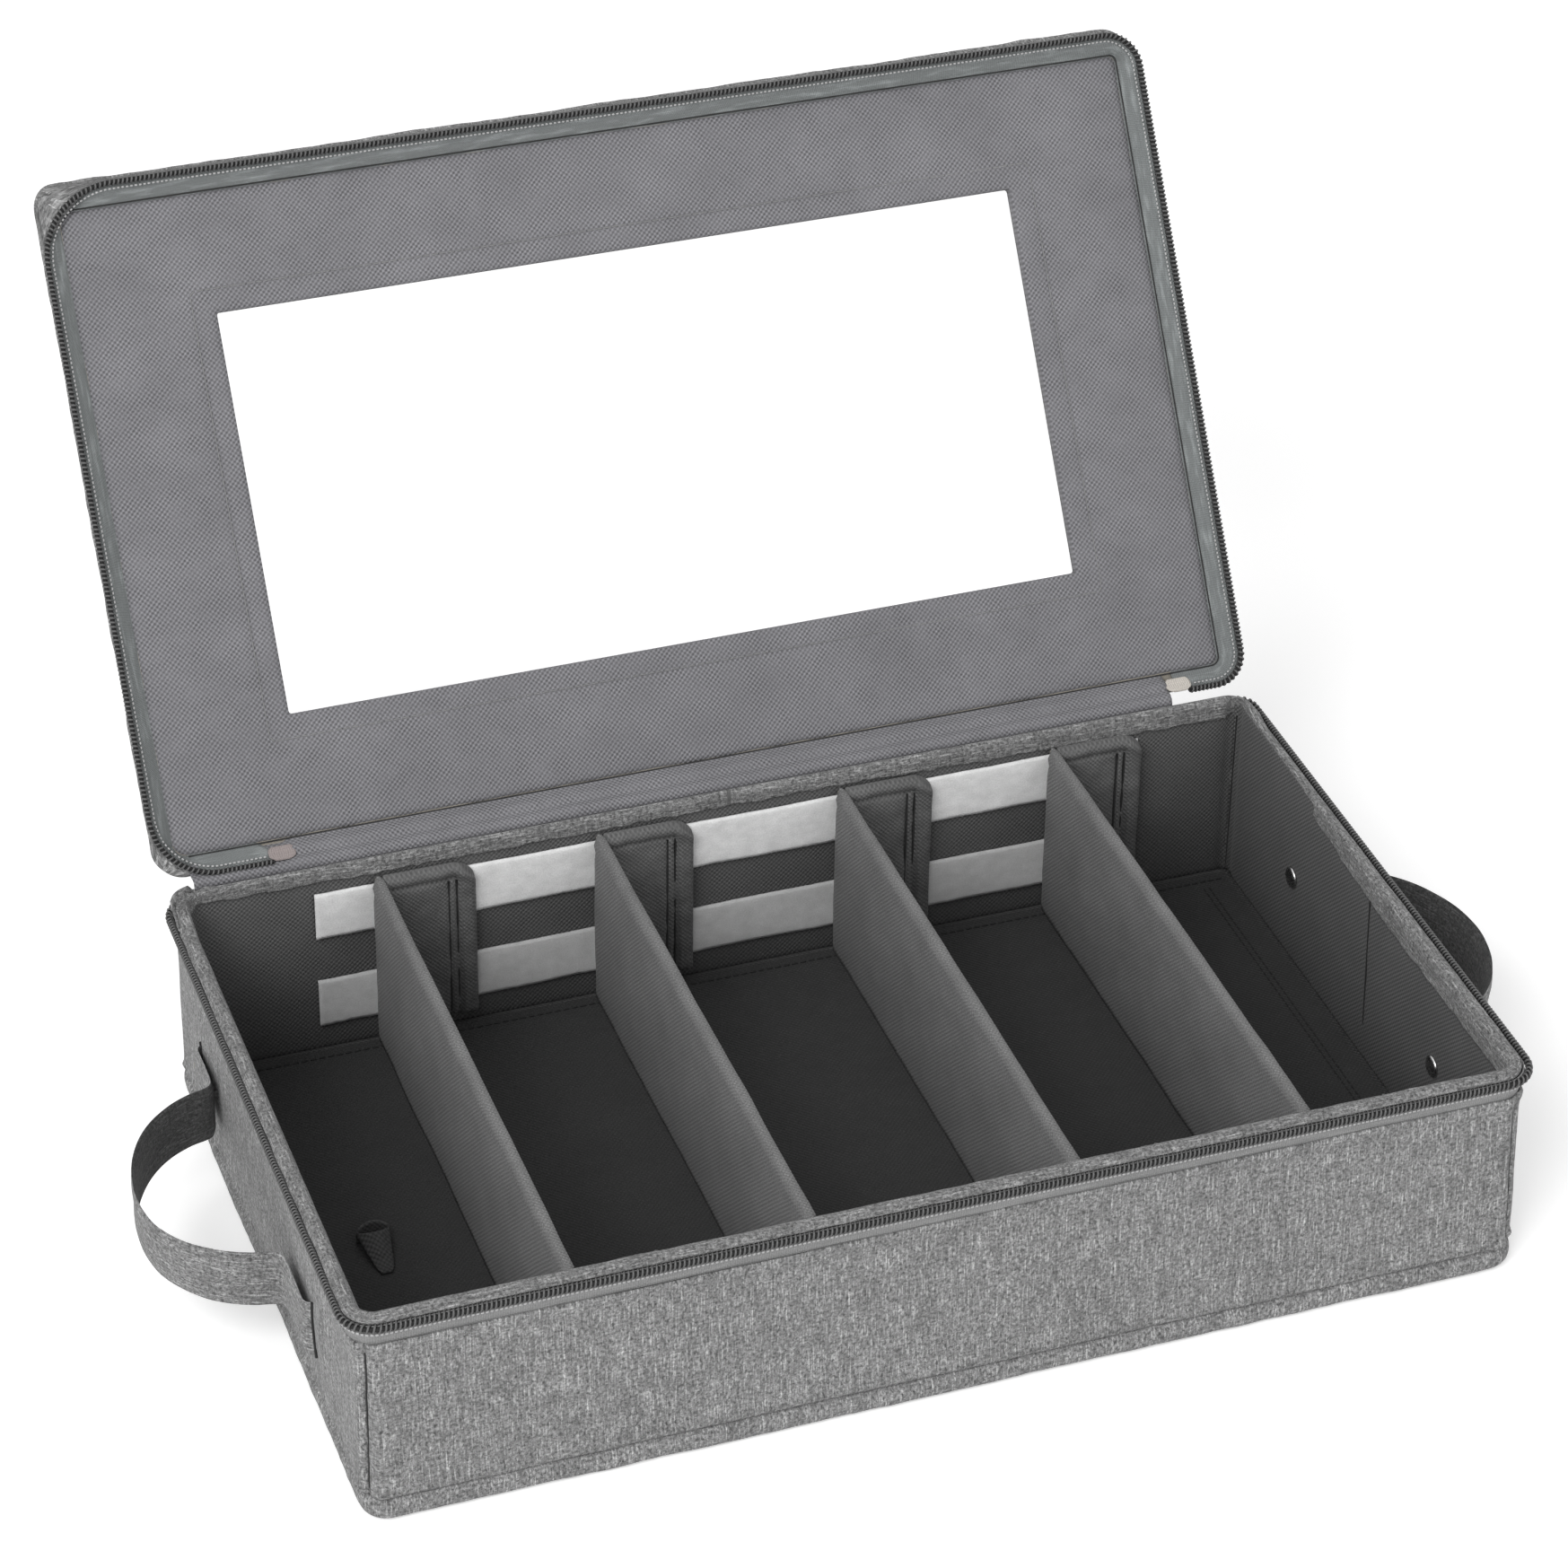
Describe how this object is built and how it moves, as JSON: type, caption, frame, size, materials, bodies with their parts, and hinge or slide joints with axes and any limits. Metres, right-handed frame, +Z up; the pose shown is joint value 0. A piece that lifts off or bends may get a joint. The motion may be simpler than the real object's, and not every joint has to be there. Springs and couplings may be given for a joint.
{
  "type": "silverware chest",
  "caption": "Fabric-covered zip-up storage chest for cutlery: shallow stiff box with movable dividers, clear-windowed hinged lid and a strap handle at each end.",
  "frame": {"origin": "centre of the underside, on the surface that the chest stands on", "axes": "+Z up, +X along the length to the viewer's right, -Y to the front; the lid hinges at +Y"},
  "size_m": [0.4836, 0.381, 0.2847],
  "materials": {
    "outer_fabric": "matte",
    "stiffener_board": "matte",
    "lining_fabric": "matte",
    "divider_fabric": "matte",
    "loop_tape": "matte",
    "hook_tape": "matte",
    "zip_tape": "matte",
    "zip_coil": "satin",
    "end_tab": "matte",
    "window_film": "gloss",
    "zip_metal": "satin",
    "rivet_metal": "satin"
  },
  "bodies": {
    "base": {"bottom_cover": "outer_fabric", "bottom_board": "stiffener_board", "bottom_lining": "lining_fabric", "front_cover": "outer_fabric", "back_cover": "outer_fabric", "left_cover": "outer_fabric", "right_cover": "outer_fabric", "front_board": "stiffener_board", "back_board": "stiffener_board", "left_board_front": "stiffener_board", "right_board_front": "stiffener_board", "left_board_rear": "stiffener_board", "right_board_rear": "stiffener_board", "front_lining": "lining_fabric", "back_lining": "lining_fabric", "left_lining": "lining_fabric", "right_lining": "lining_fabric", "rim_binding": "outer_fabric", "floor_board": "stiffener_board", "floor_cover": "lining_fabric", "floor_pull_tab": "lining_fabric", "front_loop_strip_lower": "loop_tape", "front_loop_strip_upper": "loop_tape", "back_loop_strip_lower": "loop_tape", "back_loop_strip_upper": "loop_tape", "base_zip_tape": "zip_tape", "base_zip_coil": "zip_coil", "hinge_base_leaf": "outer_fabric", "left_handle_ends": "outer_fabric", "right_handle_ends": "outer_fabric", "left_handle_rivets": "rivet_metal", "right_handle_rivets": "rivet_metal"},
    "lid": {"lid_cover": "outer_fabric", "lid_board": "stiffener_board", "lid_window": "window_film", "lid_lining": "lining_fabric", "lid_zip_tape": "zip_tape", "lid_zip_coil": "zip_coil", "lid_zip_end_tabs": "end_tab", "hinge_inner_strip": "lining_fabric", "hinge_lid_leaf": "outer_fabric"},
    "divider_1": {"divider_1_board": "stiffener_board", "divider_1_sleeve": "divider_fabric", "divider_1_hook_tapes": "hook_tape"},
    "divider_2": {"divider_2_board": "stiffener_board", "divider_2_sleeve": "divider_fabric", "divider_2_hook_tapes": "hook_tape"},
    "divider_3": {"divider_3_board": "stiffener_board", "divider_3_sleeve": "divider_fabric", "divider_3_hook_tapes": "hook_tape"},
    "divider_4": {"divider_4_board": "stiffener_board", "divider_4_sleeve": "divider_fabric", "divider_4_hook_tapes": "hook_tape"},
    "left_handle": {"left_handle": "outer_fabric"},
    "right_handle": {"right_handle": "outer_fabric"},
    "zip_slider": {"zip_slider": "zip_metal"},
    "zip_pull": {"zip_pull": "zip_metal"}
  },
  "joints": [
    {"name": "lid_hinge", "type": "hinge", "parent": "base", "child": "lid", "pos_m": [0, 0.1207, 0.0832], "axis": [-1, 0, 0], "range_deg": [-123.7, 56.3]},
    {"name": "divider_1_slide", "type": "slide", "parent": "base", "child": "divider_1", "axis": [1, 0, 0], "range_m": [-0.02, 0.02]},
    {"name": "divider_2_slide", "type": "slide", "parent": "base", "child": "divider_2", "axis": [1, 0, 0], "range_m": [-0.02, 0.02]},
    {"name": "divider_3_slide", "type": "slide", "parent": "base", "child": "divider_3", "axis": [1, 0, 0], "range_m": [-0.02, 0.02]},
    {"name": "divider_4_slide", "type": "slide", "parent": "base", "child": "divider_4", "axis": [1, 0, 0], "range_m": [-0.02, 0.02]},
    {"name": "left_handle_swing", "type": "hinge", "parent": "base", "child": "left_handle", "pos_m": [-0.202, 0, 0.04], "axis": [0, 1, 0], "range_deg": [-40, 50]},
    {"name": "right_handle_swing", "type": "hinge", "parent": "base", "child": "right_handle", "pos_m": [0.202, 0, 0.04], "axis": [0, -1, 0], "range_deg": [-40, 50]},
    {"name": "zip_slider_run", "type": "slide", "parent": "base", "child": "zip_slider", "axis": [1, 0, 0], "range_m": [0, 0.024]},
    {"name": "zip_pull_swing", "type": "hinge", "parent": "zip_slider", "child": "zip_pull", "pos_m": [0.16, 0.1202, 0.0726], "axis": [1, 0, 0], "range_deg": [0, 85]}
  ]
}
